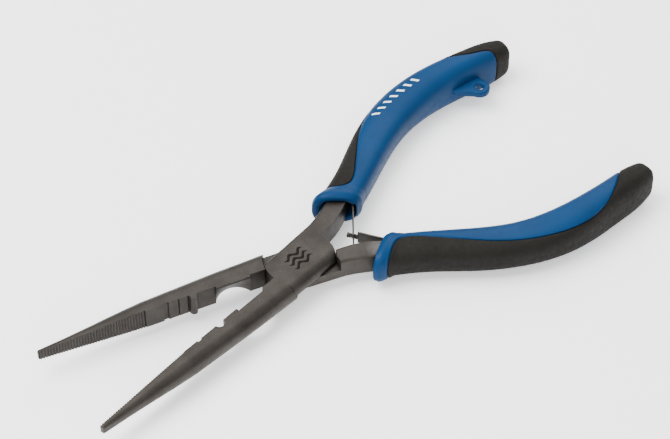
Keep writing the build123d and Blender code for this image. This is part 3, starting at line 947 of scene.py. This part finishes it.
def mark_ink(name, colour, thin_colour, roughness):
    """Printed or burnt marking, slightly broken up."""
    look = Look(name)
    tone = look.ramp(look.noise(0.4, 5.0), (0.3, thin_colour), (0.7, colour))
    uneven = look.levels(look.noise(0.6), roughness, roughness + 0.15)
    normal = look.bump(look.noise(0.3), 0.01, 0.5)
    return look.finish(normal, tone, uneven, Specular_IOR_Level=0.06)


def floor_paper():
    """Seamless white paper, with a faint tooth."""
    look = Look("floor_paper")
    colour = look.ramp(look.noise(40.0, 3.0), (0.3, (0.94, 0.94, 0.94)), (0.7, (0.95, 0.95, 0.95)))
    normal = look.bump(look.noise(0.8, 3.0), 0.008, 0.15)
    glow = {"Emission_Color": (1, 1, 1, 1), "Emission_Strength": 0.45}
    return look.finish(normal, colour, None, Roughness=0.9, **glow)


# ---- the object ------------------------------------------------------------------------------------------
steel = lever_steel()
blue = blue_plastic()
rubber = dark_rubber()
strip_steel = spring_steel()
node_looks = {
    "upper_lever": steel,
    "lower_lever": steel,
    "pivot_rivet": rivet_steel(),
    "upper_spring_rivet": strip_steel,
    "lower_spring_rivet": strip_steel,
}
for node, look in node_looks.items():
    for material_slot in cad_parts[node].material_slots:
        material_slot.material = look

for side in ("upper", "lower"):
    seam = Seam(side)
    body = f"{side}_half"
    sleeve = new_object(f"{side}_sleeve", sleeve_mesh(side, seam), blue)
    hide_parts(f"{side}_grip_sleeve")
    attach(sleeve, body)
    overmould = new_object(f"{side}_overmould", overmould_mesh(side, seam), rubber)
    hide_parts(f"{side}_grip_overmould")
    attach(overmould, body)

    spring = new_object(f"{side}_return_spring", spring_mesh(side), strip_steel)
    thickened(spring, LEAF_DEPTH, LEAF_EDGE)
    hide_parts(f"{side}_spring_root", f"{side}_spring_leaf")
    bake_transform(spring)

eye = new_object("lanyard_eye", eye_mesh(), blue)
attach(eye, "upper_half")

tongue_head = new_object("tongue_head", tongue_head_mesh(), strip_steel)
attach(tongue_head, "lower_leaf")

burnt = mark_ink("burnt_mark", BURNT, BURNT_DEEP, 0.5)
waves = new_object("joint_wave_marks", wave_marks_mesh(), burnt)
thickened(waves, MARK_DEPTH)
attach(waves, "upper_half")
print_ink = mark_ink("white_print", PRINT, PRINT_THIN, 0.4)
bars = new_object("grip_bar_marks", bar_marks_mesh(), print_ink)
thickened(bars, MARK_DEPTH)
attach(bars, "upper_half")


# ---- floor, lights and camera ----------------------------------------------------------------------------
def floor_mesh(size, height):
    """A level square floor."""
    work = bmesh.new()
    bmesh.ops.create_grid(work, x_segments=FLOOR_SQUARES, y_segments=FLOOR_SQUARES, size=size)
    bmesh.ops.translate(work, verts=work.verts, vec=(0, 0, height))
    mesh = bpy.data.meshes.new("floor")
    work.to_mesh(mesh)
    work.free()
    return mesh


def soft_light(name, spot, target, size, power):
    """A square white area light, aimed at a point."""
    lamp = bpy.data.lights.new(name, "AREA")
    lamp.shape = "SQUARE"
    lamp.size = size
    lamp.energy = power
    made = bpy.data.objects.new(name, lamp)
    made.location = spot
    made.rotation_euler = (Vector(target) - Vector(spot)).to_track_quat("-Z", "Y").to_euler()
    bpy.context.scene.collection.objects.link(made)


def studio_world():
    """A white room, bright overhead and dimmer towards its walls."""
    world = bpy.data.worlds.new("studio")
    world.use_nodes = True
    nodes = world.node_tree.nodes
    links = world.node_tree.links
    way = nodes.new("ShaderNodeTexCoord").outputs["Generated"]
    parts = nodes.new("ShaderNodeSeparateXYZ")
    tones = nodes.new("ShaderNodeValToRGB")
    for element, (position, colour) in zip(tones.color_ramp.elements, (WALL_TONE, CEILING_TONE)):
        element.position = position
        element.color = colour
    links.new(way, parts.inputs[0])
    links.new(parts.outputs["Z"], tones.inputs["Fac"])
    links.new(tones.outputs["Color"], nodes["Background"].inputs["Color"])
    nodes["Background"].inputs["Strength"].default_value = WORLD_STRENGTH
    return world


lowest = min(cad_box[0].z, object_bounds()[0].z)
floor = new_object("floor", floor_mesh(FLOOR_SIZE, lowest), floor_paper())

target = Vector(CAMERA_TARGET) * MM
for name, spot, size, power in LIGHTS:
    soft_light(name, spot, target, size, power)

bpy.context.scene.world = studio_world()

heading = radians(CAMERA_HEADING)
elevation = radians(CAMERA_ELEVATION)
look_way = Vector((cos(elevation) * cos(heading), cos(elevation) * sin(heading), -sin(elevation)))
lens = bpy.data.cameras.new("camera")
lens.lens = CAMERA_LENS
lens.sensor_width = SENSOR_WIDTH
lens.clip_start = CLIP_START
lens.clip_end = CLIP_END
camera = bpy.data.objects.new("camera", lens)
camera.location = target - look_way * CAMERA_DISTANCE * MM
camera.rotation_euler = look_way.to_track_quat("-Z", "Y").to_euler()
bpy.context.scene.collection.objects.link(camera)
bpy.context.scene.camera = camera
